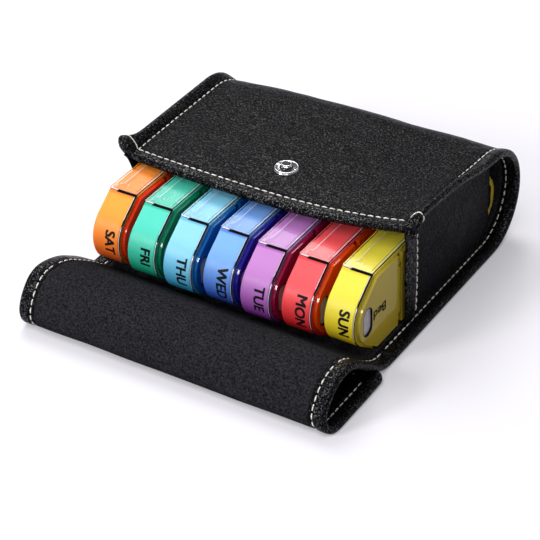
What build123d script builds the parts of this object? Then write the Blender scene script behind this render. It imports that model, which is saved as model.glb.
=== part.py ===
from build123d import *
import math
import os

# Weekly pill drawer organizer: a soft wallet case holding seven daily pods, each with four lidded cells.
# +X runs along the row of pods, +Y from the flap to the rounded back, +Z up.
# The origin is on the surface that the case stands on, at the middle of the part's box.

# ---- case: one strip of coated cloth and suede lining, with a gusset at each end ----
leather = 1.4  # outer coated cloth
lining = 1.6  # suede lining with its padding
head_room = 6.1  # from the pods' tops to the top panel's lining
side_play = 1.6  # between the row of pods and a gusset
hem_width = 8.0  # leather turned under along the top panel's front edge and the flap's tip
edge_band = 5.5  # leather turned up beside the lining along both ends
top_set_back = 22.0  # from the front fold to the corners of the top panel
top_bow = 7.0  # how far the middle of the top panel's front edge hangs forward of its corners
gusset_leather = 1.0
gusset_lining = 0.6
gusset_front = 22.5  # from the front fold to the hemmed edge, which clears the first lid when it stands open
gusset_past = 6.4  # how far a gusset's free rear edge goes past the pods' flat sides, into the round
gusset_hem = 8.0
flange_width = 4.0  # gusset edge turned outward and sewn down on the strip
flange_thickness = 0.8

# ---- flap: the same strip, which rises over a soft hump and curls under itself ----
flap_reach = 58.9  # from the front fold to the front of the curl
hump_height = 19.4  # top of the hump above the lining of the base
hump_start = 7.5  # from the front fold to where the hump's slope would meet the base
crest_run = 12.0  # length of the hump's flat crest
shoulder_run = 13.9  # from the end of the crest to the front of the curl
curl_shoulder = 10.0  # height above the base's lining where the curl turns down
curl_radius = 8.5
curl_foot = 2.0  # flat part of the curl behind its round, up to where the tip's panel starts
hump_foot_radius = 17.0
hump_top_radius = 14.0
shoulder_radius = 8.0
tip_set_back = 19.0  # from the front fold to the tip, which lies under the hump

# ---- snap fastener ----
snap_set_back = 41.0  # from the front fold to the stud on the top panel
snap_from_tip = 14.5
snap_flange_radius = 5.6
snap_flange = 0.8
stud_radius = 2.6
stud_height = 2.6
stud_neck_radius = 2.1
stud_bevel = 0.6
rivet_radius = 1.6
rivet_washer_radius = 4.6
rivet_washer = 0.5
rivet_clearance = 0.1
socket_mouth_radius = 2.8
socket_floor = 0.5

# ---- pods ----
days = ("sat", "fri", "thu", "wed", "tue", "mon", "sun")
day_stagger = (2.5, 0.8, -1.0, 0.0, -1.8, -1.0, 0.6)  # how far each pod is pushed in, as left by hand
meals = ("bed", "eve", "noon", "morn")
pod_pitch = 20.0
pod_height = 38.6
pod_length = 126.0  # over both rounded ends
pod_clearance = 0.3  # under a pod, between it and the lining
nose_slope = 36.0  # degrees between the pod's axis and the straight part of its end
nose_radius = 14.8
tray_depth = 13.9
tray_floor = 1.2
tray_wall = 1.3
cell_divider = 1.2
tray_edge_chamfer = 0.6
leaf = 1.3  # cover's leaves over the tray's top and bottom
cover_plate = 0.9
cover_frame = 2.0  # width of the cover's frame round the cells
side_rail = 5.0  # cover's cross rail beside each end cell, which carries one lid's hinge
middle_rail = 6.2  # cross rail between the two middle cells, which carries two hinges
end_cell = 20.2  # from the pod's front corner, or its rear one, to the middle of the side rail

# ---- lids ----
lid_height = 1.75  # how far a lid stands out of the cover
lid_wall = 0.8
lid_inset = 1.5  # from the pod's outline to the lid's
lid_lap = 0.8  # how far a lid laps onto the cover's rails
lid_hinge_gap = 0.5  # between a lid's edge and its hinge barrel
barrel_radius = 0.8
barrel_length = 24.0
hinge_post = 1.4  # cover's posts that hold the barrel at both ends
hinge_clearance = 0.15
scoop_length = 13.6
scoop_width = 7.6
scoop_depth = 0.9
scoop_from_tip = 6.9  # from the lid's free edge to the middle of its thumb scoop

# ---- derived: a pod ----
half_height = pod_height / 2
slope = math.radians(nose_slope)
nose_tip = half_height / math.tan(slope) - nose_radius / math.sin(slope) + nose_radius
pod_flat = pod_length - 2 * nose_tip
lid_face = tray_depth + cover_plate + lid_height
barrel_reach = barrel_radius + lid_hinge_gap
cell_mid = pod_flat / 2
# the cross rails: where each has its middle, and its width
rails = ((end_cell, side_rail), (cell_mid, middle_rail), (pod_flat - end_cell, side_rail))

# ---- derived: the case, made round the row of pods ----
stack_width = pod_pitch * (len(days) - 1) + lid_face
strip = leather + lining
gusset_thickness = gusset_leather + gusset_lining
lining_half = stack_width / 2 + side_play + gusset_thickness
half_width = lining_half + edge_band
top_z = pod_clearance + pod_height + head_room + 2 * strip
outer_radius = top_z / 2
part_length = flap_reach + pod_flat + outer_radius
fold_y = flap_reach - part_length / 2
back_centre_y = fold_y + pod_flat
curl_y = fold_y - flap_reach + curl_radius
lip_y = curl_y + curl_foot
tip_y = fold_y - tip_set_back
overrun = 1.0  # how far a cutting shape runs past the face that it cuts


def between(low_x, high_x, outline):
    """Outline in Y and Z, made solid from low_x to high_x."""
    return extrude(Plane.YZ.offset(low_x) * outline, high_x - low_x)


# ---- the case ----
def wrap(depth, reach):
    """The strip's outline at a depth under the leather, closed at the front."""
    radius = outer_radius - depth
    straight = back_centre_y - fold_y + reach
    block = Pos(back_centre_y - straight / 2, outer_radius) * Rectangle(straight, 2 * radius)
    return block + Pos(back_centre_y, outer_radius) * Circle(radius)


def wrap_layer(near, far):
    return wrap(near, 0) - wrap(far, overrun)


def front_of_top(shift):
    """Everything forward of the top panel's bowed front edge, moved back by shift."""
    corner = fold_y + top_set_back + shift
    ahead = fold_y - top_set_back
    side = half_width + overrun
    bow = ThreePointArc((-side, corner), (0, corner - top_bow), (side, corner))
    rest = Polyline((side, corner), (side, ahead), (-side, ahead), (-side, corner))
    return extrude(Plane.XY.offset(outer_radius) * make_face([bow, *rest.edges()]), top_z)


def stud_hole():
    return Pos(0, fold_y + snap_set_back, top_z) * Cylinder(rivet_radius + rivet_clearance, 4 * strip)


def case_leather():
    skin = between(-half_width, half_width, wrap_layer(0, leather))
    turned = wrap_layer(leather, strip)
    bands = between(-half_width, -lining_half, turned) + between(lining_half, half_width, turned)
    top_hem = between(-lining_half, lining_half, turned) & (front_of_top(hem_width) - front_of_top(0))
    return skin - front_of_top(0) + (bands - front_of_top(0)) + top_hem - stud_hole()


def case_lining():
    suede = between(-lining_half, lining_half, wrap_layer(leather, strip))
    return suede - front_of_top(hem_width) - stud_hole()


def gusset(side, near, far):
    """Upright end panel between two depths in from its outer face, with its rear edge left free."""
    low, high = sorted((side * (lining_half - near), side * (lining_half - far)))
    opening = wrap(strip, 0)
    span = pod_flat + gusset_past - gusset_front
    room = Pos(fold_y + gusset_front + span / 2, outer_radius) * Rectangle(span, 2 * top_z)
    return between(low, high, opening & room)


def gusset_outer(side):
    """Leather face of a gusset, with flanges turned outward onto the strip above and below."""
    panel = gusset(side, 0, gusset_leather)
    run = back_centre_y - fold_y - gusset_front
    for z in (strip + flange_thickness / 2, top_z - strip - flange_thickness / 2):
        middle = (side * (lining_half + flange_width / 2), fold_y + gusset_front + run / 2, z)
        panel += Pos(*middle) * Box(flange_width, run, flange_thickness)
    return panel


def gusset_inner(side):
    """Lining of a gusset, set back behind the leather that is turned in at its front edge."""
    suede = gusset(side, gusset_leather, gusset_thickness)
    hem = fold_y + gusset_front + gusset_hem / 2
    return suede - Pos(0, hem, outer_radius) * Box(2 * half_width, gusset_hem, top_z)


# ---- the flap ----
def offset_path(points, radii, depth):
    """The rounded polyline moved sideways by depth, to the left of its own direction."""
    ends = [Vector(*p) for p in points]
    runs = [(b - a).normalized() for a, b in zip(ends, ends[1:])]
    sides = [Vector(-run.Y, run.X) for run in runs]
    moved = [ends[0] + sides[0] * depth]
    rounds = []
    for corner, before, after, side, r in zip(ends[1:], runs, runs[1:], sides, radii):
        turn = before.X * after.Y - before.Y * after.X
        half_turn = math.asin(turn) / 2 if before.dot(after) > 0 else math.copysign(math.pi / 4, turn)
        moved.append(corner + side * depth - before * depth * math.tan(half_turn))
        rounds.append(r - depth * math.copysign(1, turn))
    moved.append(ends[-1] + sides[-1] * depth)
    return FilletPolyline(*moved, radius=rounds)


def flap_layer(near, far):
    """Outline of the flap between two depths under its lining, from the fold to the foot of the curl."""
    shoulder_z = strip + curl_shoulder
    crest_z = strip + hump_height
    front = fold_y - flap_reach
    route = (
        (fold_y, strip),
        (fold_y - hump_start, strip),
        (front + shoulder_run + crest_run, crest_z),
        (front + shoulder_run, crest_z),
        (front, shoulder_z),
        (front, 0),
        (lip_y, 0),
    )
    bends = (hump_foot_radius, hump_top_radius, shoulder_radius, shoulder_radius, curl_radius)
    upper = offset_path(route, bends, near)
    lower = offset_path(route, bends, far)
    start = Line(upper @ 0, lower @ 0)
    end = Line(upper @ 1, lower @ 1)
    return make_face([*upper.edges(), *lower.edges(), start, end])


def flap_leather():
    skin = between(-half_width, half_width, flap_layer(lining, strip))
    turned = flap_layer(0, lining)
    return skin + between(-half_width, -lining_half, turned) + between(lining_half, half_width, turned)


def flap_lining():
    return between(-lining_half, lining_half, flap_layer(0, lining))


def lip_block(low_x, high_x, low_y, high_y, low_z, high_z):
    size = (high_x - low_x, high_y - low_y, high_z - low_z)
    return Pos((low_x + high_x) / 2, (low_y + high_y) / 2, (low_z + high_z) / 2) * Box(*size)


def lip_hole(radius, low_z, high_z):
    place = Pos(0, tip_y - snap_from_tip, (low_z + high_z) / 2)
    return place * Cylinder(radius, high_z - low_z)


def lip_leather():
    """The strip's tip, lying face up, with its leather turned under at the sides and the front edge."""
    skin = lip_block(-half_width, half_width, lip_y, tip_y, lining, strip)
    left = lip_block(-half_width, -lining_half, lip_y, tip_y, 0, lining)
    right = lip_block(lining_half, half_width, lip_y, tip_y, 0, lining)
    tip_hem = lip_block(-lining_half, lining_half, tip_y - hem_width, tip_y, 0, lining)
    seat = lip_hole(snap_flange_radius + rivet_clearance, strip - snap_flange, strip)
    return skin + left + right + tip_hem - seat - lip_hole(rivet_radius + rivet_clearance, 0, strip)


def lip_lining():
    suede = lip_block(-lining_half, lining_half, lip_y, tip_y - hem_width, 0, lining)
    return suede - lip_hole(snap_flange_radius + rivet_clearance, 0, lining)


# ---- the snap fastener, each half a turned shape ----
def turned_part(*outline):
    profile = make_face(Polyline(*outline, close=True).edges())
    return revolve(Plane.XZ * profile, Axis.Z)


def snap_stud():
    """Flange and mushroom head on the top panel's leather."""
    neck_z = snap_flange + stud_bevel
    head = turned_part(
        (rivet_radius, 0),
        (snap_flange_radius, 0),
        (snap_flange_radius - stud_bevel, snap_flange),
        (stud_neck_radius, snap_flange),
        (stud_neck_radius, neck_z),
        (stud_radius, stud_height - stud_bevel),
        (stud_radius - stud_bevel, stud_height),
        (rivet_radius, stud_height),
    )
    return Pos(0, fold_y + snap_set_back, top_z) * head


def snap_rivet():
    """Rivet that holds the stud, with its washer against the case's lining."""
    washer_z = -strip - rivet_washer
    rivet = turned_part(
        (0, washer_z),
        (rivet_washer_radius, washer_z),
        (rivet_washer_radius, -strip),
        (rivet_radius, -strip),
        (rivet_radius, stud_height - stud_bevel),
        (0, stud_height - stud_bevel),
    )
    return Pos(0, fold_y + snap_set_back, top_z) * rivet


def snap_cap():
    """Smooth cap set flush in the lip's leather."""
    cap = turned_part(
        (0, -strip + rivet_washer),
        (rivet_radius, -strip + rivet_washer),
        (rivet_radius, -snap_flange),
        (snap_flange_radius, -snap_flange),
        (snap_flange_radius, -snap_flange / 2),
        (snap_flange_radius - 2 * stud_bevel, 0),
        (0, 0),
    )
    return Pos(0, tip_y - snap_from_tip, strip) * cap


def snap_socket():
    """Ring on the lining side, whose mouth takes the stud."""
    ring = turned_part(
        (socket_mouth_radius, 0),
        (snap_flange_radius, 0),
        (snap_flange_radius, lining),
        (rivet_radius + rivet_clearance, lining),
        (rivet_radius + rivet_clearance, lining - socket_floor),
        (socket_mouth_radius, lining - socket_floor),
    )
    return Pos(0, tip_y - snap_from_tip, 0) * ring


# ---- a pod, with its left face on X = 0, its front corner on Y = 0 and its underside on Z = 0 ----
def pod_outline(inset):
    """Flat-sided outline with a rounded nose at both ends, drawn in by inset."""
    half = half_height - inset
    # the ends' straight parts move in square to themselves
    flat = pod_flat / 2 - inset / math.sin(slope) + inset / math.tan(slope)
    reach = flat + half / math.tan(slope)
    corners = ((-flat, half), (flat, half), (reach, 0), (flat, -half), (-flat, -half), (-reach, 0))
    face = make_face(Polyline(*corners, close=True).edges())
    tips = [v for v in face.vertices() if abs(v.Y) < half / 2]
    return Pos(cell_mid, half_height) * fillet(tips, nose_radius - inset)


def slab(outline, low_x, high_x, low_y, high_y):
    """Part of an outline between two places along the pod."""
    window = Pos((low_y + high_y) / 2, half_height) * Rectangle(high_y - low_y, 2 * pod_height)
    return between(low_x, high_x, outline & window)


def cell_spans(wall_of):
    """Where each of the four cells begins and ends, given the width of the wall at a rail."""
    starts = [-nose_tip] + [middle + wall_of(width) / 2 for middle, width in rails]
    ends = [middle - wall_of(width) / 2 for middle, width in rails] + [pod_flat + nose_tip]
    return list(zip(starts, ends))


def tray():
    """Coloured tray: a D-ended box with four cells open towards the lids."""
    side = pod_outline(0)
    body = between(0, tray_depth, side)
    for low_z in (0, pod_height - leaf):
        body -= Pos(tray_depth / 2, cell_mid, low_z + leaf / 2) * Box(2 * tray_depth, pod_flat, leaf)
    left_face = body.faces().sort_by(Axis.X)[0]
    body = chamfer(left_face.edges(), tray_edge_chamfer)
    for low_y, high_y in cell_spans(lambda width: cell_divider):
        body -= slab(pod_outline(leaf + tray_wall), tray_floor, 2 * tray_depth, low_y, high_y)
    return body


def lid_span(number):
    """Start and end of a lid along the pod, which laps onto the rails but stops short at a nose."""
    low_y, high_y = cell_spans(lambda width: width - 2 * lid_lap)[number]
    return max(low_y, lid_inset - nose_tip), min(high_y, pod_flat + nose_tip - lid_inset)


def hinged_behind(number):
    """The two front lids are hinged at their rear edge, and the two rear ones at their front edge."""
    return number < len(meals) / 2


def hinge_place(number):
    """Y of a lid's hinge barrel, in the pod's own frame."""
    low_y, high_y = lid_span(number)
    return high_y + barrel_reach if hinged_behind(number) else low_y - barrel_reach


def cover():
    """Clear cover: a frame over the open side and a leaf over the tray's top and its underside."""
    inner, outer = tray_depth, tray_depth + cover_plate
    body = between(inner, outer, pod_outline(0))
    for low_y, high_y in cell_spans(lambda width: width):
        body -= slab(pod_outline(cover_frame + leaf), 0, 2 * tray_depth, low_y, high_y)
    for low_z in (0, pod_height - leaf):
        body += Pos(outer / 2, cell_mid, low_z + leaf / 2) * Box(outer, pod_flat, leaf)
    apart = barrel_length / 2 + hinge_clearance + hinge_post / 2
    for number in range(len(meals)):
        for z in (half_height - apart, half_height + apart):
            post = Box(2 * barrel_radius, 2 * barrel_radius, hinge_post)
            body += Pos(outer + barrel_radius, hinge_place(number), z) * post
    return body


def lid(number):
    """Clear raised lid: a shallow cap with a thumb scoop at one edge and a round hinge bead at the other."""
    base = tray_depth + cover_plate
    low_y, high_y = lid_span(number)
    inward = 1 if hinged_behind(number) else -1
    free_y, hinge_y = (low_y, high_y) if hinged_behind(number) else (high_y, low_y)
    axis_y = hinge_place(number)
    scoop_y = free_y + inward * scoop_from_tip
    cap = slab(pod_outline(lid_inset), base, base + lid_height, low_y, high_y)
    under = base + lid_height - lid_wall
    solid_y = scoop_y + inward * (scoop_width / 2 + lid_wall)
    low_pocket, high_pocket = sorted((solid_y, hinge_y - inward * lid_wall))
    cap -= slab(pod_outline(lid_inset + lid_wall), base, under, low_pocket, high_pocket)
    dish = Pos(scoop_y, half_height) * SlotOverall(scoop_length, scoop_width, 90)
    cap -= between(base + lid_height - scoop_depth, base + lid_height, dish)
    axis_x = base + barrel_radius
    root_y = hinge_y - inward * lid_wall / 2
    web = Box(2 * barrel_radius, abs(axis_y - root_y), barrel_length)
    cap += Pos(axis_x, (axis_y + root_y) / 2, half_height) * web
    return cap + Pos(axis_x, axis_y, half_height) * Cylinder(barrel_radius, barrel_length)


def save(name, shape):
    shape.label = name
    export_step(shape, f"parts/{name}.step")


os.makedirs("parts", exist_ok=True)
save("case_leather", case_leather())
save("case_lining", case_lining())
for end, side in (("left", -1), ("right", 1)):
    save(f"{end}_gusset_leather", gusset_outer(side))
    save(f"{end}_gusset_lining", gusset_inner(side))
save("flap_leather", flap_leather())
save("flap_lining", flap_lining())
save("lip_leather", lip_leather())
save("lip_lining", lip_lining())
save("snap_stud", snap_stud())
save("snap_rivet", snap_rivet())
save("snap_cap", snap_cap())
save("snap_socket", snap_socket())

pod_tray = tray()
pod_cover = cover()
pod_lids = [lid(number) for number in range(len(meals))]
for number, day in enumerate(days):
    place = Pos(number * pod_pitch - stack_width / 2, fold_y + day_stagger[number], strip + pod_clearance)
    save(f"{day}_tray", place * pod_tray)
    save(f"{day}_cover", place * pod_cover)
    for meal, shape in zip(meals, pod_lids):
        save(f"{day}_{meal}_lid", place * shape)
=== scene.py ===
import math

import bmesh
import bpy
from mathutils import Matrix, Vector, noise


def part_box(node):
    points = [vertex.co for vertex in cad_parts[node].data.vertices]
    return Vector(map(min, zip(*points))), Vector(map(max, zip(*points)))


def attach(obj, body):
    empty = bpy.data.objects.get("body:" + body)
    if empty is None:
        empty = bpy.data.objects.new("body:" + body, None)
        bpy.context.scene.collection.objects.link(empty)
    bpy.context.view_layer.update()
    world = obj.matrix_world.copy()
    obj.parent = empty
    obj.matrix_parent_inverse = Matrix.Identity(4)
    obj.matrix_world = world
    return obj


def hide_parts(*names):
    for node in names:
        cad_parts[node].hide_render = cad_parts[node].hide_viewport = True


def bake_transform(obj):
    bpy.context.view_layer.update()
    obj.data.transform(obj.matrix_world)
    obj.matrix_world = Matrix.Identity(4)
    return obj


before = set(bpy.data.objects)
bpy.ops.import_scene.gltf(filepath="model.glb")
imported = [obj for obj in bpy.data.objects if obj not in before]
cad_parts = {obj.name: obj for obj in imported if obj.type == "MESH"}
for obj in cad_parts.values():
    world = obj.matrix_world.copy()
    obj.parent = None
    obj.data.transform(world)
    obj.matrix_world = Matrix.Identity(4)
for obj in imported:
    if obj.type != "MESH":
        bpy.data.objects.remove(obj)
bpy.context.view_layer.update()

bpy.ops.object.select_all(action="DESELECT")
bpy.context.scene.view_settings.view_transform = "Standard"
mm = 0.001

# ---- camera ----
# A long lens in front of the case's right end and well above it.
# The place, turn, rise and lean were fitted to the row of pods, in millimetres and degrees.
camera_place = Vector((424.7, -669.2, 552.7))
camera_turn = math.radians(32.60)
camera_rise = math.radians(34.72)
camera_lean = math.radians(-1.74)
lens_data = bpy.data.cameras.new("camera")
lens_data.sensor_width = 36.0
lens_data.lens = 143.4
camera = bpy.data.objects.new("camera", lens_data)
bpy.context.scene.collection.objects.link(camera)
bpy.context.scene.camera = camera
back = Vector((math.sin(camera_turn), -math.cos(camera_turn), 0)) * math.cos(camera_rise)
back.z = math.sin(camera_rise)
across = Vector((math.cos(camera_turn), math.sin(camera_turn), 0))
upward = back.cross(across)
leaned = across * math.cos(camera_lean) + upward * math.sin(camera_lean)
axes = Matrix((leaned, back.cross(leaned), back)).transposed().to_4x4()
camera.matrix_world = Matrix.Translation(camera_place * mm) @ axes


# ---- studio: white floor, soft light ----
# White seamless paper under the case, a large soft lamp behind it at the left, one above in front of it, a
# small one low in front at the left for the sparkle on the turned edges, and an even white room.
def linear(hexadecimal):
    """An sRGB colour such as #28282C as linear red, green and blue, with alpha 1."""
    values = [int(hexadecimal[i:i + 2], 16) / 255 for i in (1, 3, 5)]
    return [v / 12.92 if v <= 0.04045 else ((v + 0.055) / 1.055) ** 2.4 for v in values] + [1.0]


def feed(tree, node, values):
    """Sets a node's inputs to numbers, colours, outputs of other nodes or, given a node, its first output."""
    for name, value in values.items():
        if isinstance(value, str):
            value = linear(value)
        if isinstance(value, bpy.types.Node):
            value = value.outputs[0]
        if isinstance(value, bpy.types.NodeSocket):
            tree.links.new(value, node.inputs[name])
        else:
            node.inputs[name].default_value = value


def add(tree, kind, values=None, **settings):
    """Adds a shader node with its inputs and settings."""
    made = tree.nodes.new("ShaderNode" + kind)
    for name, value in settings.items():
        setattr(made, name, value)
    feed(tree, made, values or {})
    return made


def new_material(name):
    """A named material, its node tree and its shader."""
    material = bpy.data.materials.new(name)
    material.use_nodes = True
    return material, material.node_tree, material.node_tree.nodes["Principled BSDF"]


floor_half = 3.0
bpy.ops.mesh.primitive_plane_add(size=2 * floor_half)
floor = bpy.context.object
floor.name = "floor"
paper_glow = 0.18  # added for the camera alone
paper, tree, shader = new_material("matte_white_paper")
seen = add(tree, "LightPath").outputs["Is Camera Ray"]
glow = add(tree, "Math", {0: seen, 1: paper_glow}, operation="MULTIPLY")
feed(tree, shader, {
    "Base Color": "#D6D4DB", "Roughness": 1.0, "Specular IOR Level": 0.0,
    "Emission Color": "#FFFFFF", "Emission Strength": glow})
floor.data.materials.append(paper)

room_light = 0.33  # the camera sees the room at full strength
world = bpy.data.worlds.new("white_room")
bpy.context.scene.world = world
world.use_nodes = True
tree = world.node_tree
seen = add(tree, "LightPath").outputs["Is Camera Ray"]
strength = add(tree, "MapRange", {"Value": seen, "To Min": room_light, "To Max": 1.0})
feed(tree, tree.nodes["Background"], {"Color": "#FFFFFF", "Strength": strength})


def soft_lamp(name, place, aim, width, power):
    """A square softbox at a place, in metres, turned to a point."""
    data = bpy.data.lights.new(name, "AREA")
    data.shape = "SQUARE"
    data.size = width
    data.energy = power
    lamp = bpy.data.objects.new(name, data)
    bpy.context.scene.collection.objects.link(lamp)
    direction = Vector(place) - Vector(aim)
    lamp.matrix_world = Matrix.Translation(place) @ direction.to_track_quat("Z", "Y").to_matrix().to_4x4()


soft_lamp("softbox_behind_left", (-0.50, 0.54, 0.95), (0, 0, 0.02), 0.7, 8.8)
soft_lamp("softbox_above", (0.15, -0.50, 1.05), (0, 0, 0.02), 0.8, 6.4)
soft_lamp("softbox_front", (-0.42, -0.78, 0.50), (0, -0.05, 0.02), 0.22, 4.6)


# ---- the case's strip ----
# One strip of black coated cloth with a suede lining, wrapped from the top panel's front edge round the
# back to the base. Its edges are turned and sewn over a soft filling, so they stand up in a round roll.
case_low, case_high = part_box("case_leather")
half_width = case_high.x / mm
fold = case_low.y / mm
case_top = case_high.z / mm
back_round = case_top / 2
back_centre = case_high.y / mm - back_round
strip = 3.0  # leather and lining together
skin = 1.4  # leather alone
seam = 6.4  # from the strip's edge to its stitch line
suede_edge = 8.0  # from the strip's edge to the lining's edge
corner_round = 4.0  # radius of the front corners
front_middle = 17.5  # from the fold to the middle of the top panel's front edge
front_left = 24.0  # and to its left end
front_right = 17.0  # and to its right end
left_drop = 4.9  # of the top panel's left end
right_rise = 7.2  # of the top panel's right end, at the front
sag = 2.4  # of the front edge's middle
hem_seam = 5.8  # from an end of the strip to the stitch line along it
suede_hem = 8.5  # from an end of the strip to the lining's end
suede_tuck = 0.3  # by which the lining runs under the turned edge
layer_gap = 0.05  # between leather and lining
edge_tilt = 42  # degrees by which the turned edge stands up beyond its stitches
corner_tilt = -34  # the same at the right front corner, where it bends down
corner_flare = 0.75  # share by which the turned edge is wider at the left front corner
# the rows of points lie closer together beside an edge, at these distances from it
near_edge = [0, 0.1, 0.4, 0.9, 1.5, 2.4, 3.5, 4.6, 5.4, 5.8, 6.2, 6.6, 7.1, 7.9, 8.1, 8.4, 8.6, 9.6, 11]
inner_columns = 52  # rows of points across the strip between the two turned edges
inner_rows = 26  # the same along the top panel
round_rows = 30  # the same round the back, and along the base


def smooth(low, high, value):
    """0 below low, 1 above high, and a smooth step between."""
    share = min(max((value - low) / (high - low), 0.0), 1.0)
    return share * share * (3 - 2 * share)


def bell(distance, width):
    """1 at no distance, falling off smoothly over a width."""
    return math.exp(-(distance / width) ** 2)


def front_edge(x):
    """Y of the top panel's front edge, which hangs forward in the middle."""
    corner, power = (front_left, 2.2) if x < 0 else (front_right, 2.6)
    return fold + front_middle + (corner - front_middle) * abs(x / half_width) ** power


def warp(x, run):
    """Height of the worn panel over its plain level; run is the way along the strip from over the fold."""
    if x < 0:
        return -left_drop * (x / half_width) ** 2 * (1 - smooth(95, 140, run))
    return right_rise * (x / half_width) ** 2 * (1 - smooth(20, 108, run))


def case_face(station, x):
    """Point on the strip's outer face and its inward normal: 0 to 1 top, 1 to 2 round, 2 to 3 base."""
    if station > 2:
        y = back_centre - (station - 2) * (back_centre - fold)
        return Vector((x, y, 0)), Vector((0, 0, 1))
    if station <= 1:
        start = front_edge(x)
        ahead = station * (back_centre - start)
        drop = sag * (1 - (x / half_width) ** 2) * (1 - smooth(0, 21, ahead))
        point = Vector((x, start + ahead, case_top - drop))
        normal = Vector((0, 0, -1))
        run = point.y - fold
        tilt = edge_tilt if x < 0 else edge_tilt + (corner_tilt - edge_tilt) * bell(ahead, 4.5)
    else:
        angle = (station - 1) * math.pi
        normal = Vector((0, -math.sin(angle), -math.cos(angle)))
        point = Vector((x, back_centre, back_round)) - normal * back_round
        run = back_centre - fold + angle * back_round
        tilt = edge_tilt
    point -= normal * warp(x, run)
    # beyond its stitches the turned edge stands up, less and less towards the back
    if x > 0:
        tilt *= 1 - 0.75 * smooth(0.5, 1.0, station)
    tilt = math.radians(tilt) * (1 - smooth(1.0, 1.5, station))
    over = abs(x) - (half_width - seam)
    if over > 0:
        flare = 1 + (corner_flare * bell(run - front_left, 7) if x < 0 else 0)
        point.x = math.copysign(half_width - seam + over * flare * math.cos(tilt), x)
        point -= normal * over * flare * math.sin(tilt)
    tilt *= smooth(-1.0, 1.0, over)
    return point, normal * math.cos(tilt) + Vector((math.copysign(math.sin(tilt), x), 0, 0))


def rolled(edge):
    """Depths of the outer and inner face at a distance from an edge that is turned and sewn."""
    half = strip / 2
    if edge < half:
        half = math.sqrt(max(half ** 2 - (half - edge) ** 2, 0.0))
    swell = 0.36 * max(math.sin(math.pi * min(edge / seam, 1.0)), 0.0) ** 0.7
    groove = 0.42 * bell(edge - seam, 0.75)
    return strip / 2 - half - swell + groove, strip / 2 + half + swell - groove


def plump(from_side, from_end):
    """Extra half thickness where the side's turned edge runs out over the end's."""
    return 1.2 * bell(from_end - 1.5, 5.5) * math.sin(math.pi * min(from_side / seam, 1.0))


def corner_distance(first, second):
    """Distance from the nearer of two edges, with a round corner where they meet."""
    if first < corner_round and second < corner_round:
        return corner_round - math.hypot(corner_round - first, corner_round - second)
    return min(first, second)


def round_corner(first, second):
    """Distances from two edges, brought back to the round corner if they lie beyond it."""
    away = math.hypot(corner_round - first, corner_round - second)
    if first < corner_round and second < corner_round and away > corner_round:
        share = corner_round / away
        first = corner_round - (corner_round - first) * share
        second = corner_round - (corner_round - second) * share
    return first, second


def evenly(first, last, count):
    """Values from first to last in equal steps."""
    return [first + (last - first) * k / count for k in range(count + 1)]


def shaped(name, points, faces, material=None, soft=True, merged=False, outward=True, turned_edge=None):
    """A piece from points in millimetres and faces.

    The values of turned_edge say for each point where the leather is stretched over its filling, from 0 to 1.
    """
    data = bpy.data.meshes.new(name)
    data.from_pydata([p * mm for p in points], [], faces)
    if turned_edge:
        data.attributes.new("turned_edge", "FLOAT", "POINT").data.foreach_set("value", turned_edge)
    shape = bmesh.new()
    shape.from_mesh(data)
    if merged:
        bmesh.ops.remove_doubles(shape, verts=shape.verts, dist=0.02 * mm)
    if outward:
        bmesh.ops.recalc_face_normals(shape, faces=shape.faces)
    for face in shape.faces:
        face.smooth = soft
    shape.to_mesh(data)
    shape.free()
    if material:
        data.materials.append(material)
    piece = bpy.data.objects.new(name, data)
    bpy.context.scene.collection.objects.link(piece)
    return piece


def strip_mesh(name, outer, inner, turned_edge=None):
    """Thin piece between two equal grids of points in millimetres, closed round its rim."""
    rows, wide = len(outer), len(outer[0])
    count = rows * wide
    faces = []
    for i in range(rows - 1):
        for a in range(i * wide, i * wide + wide - 1):
            faces.append((a, a + 1, a + wide + 1, a + wide))
            faces.append((a + count, a + count + wide, a + count + wide + 1, a + count + 1))
    rim = list(range(wide)) + [i * wide + wide - 1 for i in range(1, rows)]
    rim += [(rows - 1) * wide + j for j in range(wide - 2, -1, -1)]
    rim += [i * wide for i in range(rows - 2, 0, -1)]
    faces += [(a, a + count, b + count, b) for a, b in zip(rim, rim[1:] + rim[:1])]
    points = [p for row in outer + inner for p in row]
    values = [v for row in turned_edge * 2 for v in row] if turned_edge else None
    return shaped(name, points, faces, merged=True, turned_edge=values)


def turned_share(edge, line):
    """1 where the leather is turned, 0 beyond the stitch line."""
    return 1 - smooth(line - 0.8, line + 0.4, edge)


def lining_edge(from_side, from_end):
    """Distance from the lining's own edge, given the distances from the strip's edges."""
    return min(from_side - suede_edge + 0.25, from_end - suede_hem + suede_tuck)


def lining_depth(edge):
    """How far the suede lining stands over its leather at a distance from its own edge, which is round."""
    return layer_gap + 1.6 * min(1, math.sqrt(max(edge, 0.0) / 0.8))


def textured(name):
    """A named material, its node tree, its shader and the place on the piece that its textures follow."""
    material, tree, shader = new_material(name)
    return material, tree, shader, add(tree, "TexCoord").outputs["Object"]


def creases(point, strength):
    """Height of the soft creases of a worn leather panel, in millimetres."""
    wide = noise.noise(Vector((point.x * 0.05, point.y * 0.09, point.z * 0.05)))
    fine = noise.noise(Vector((point.x * 0.16 + 7, point.y * 0.30, point.z * 0.16)))
    return strength * (0.5 * wide + 0.22 * fine)


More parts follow.
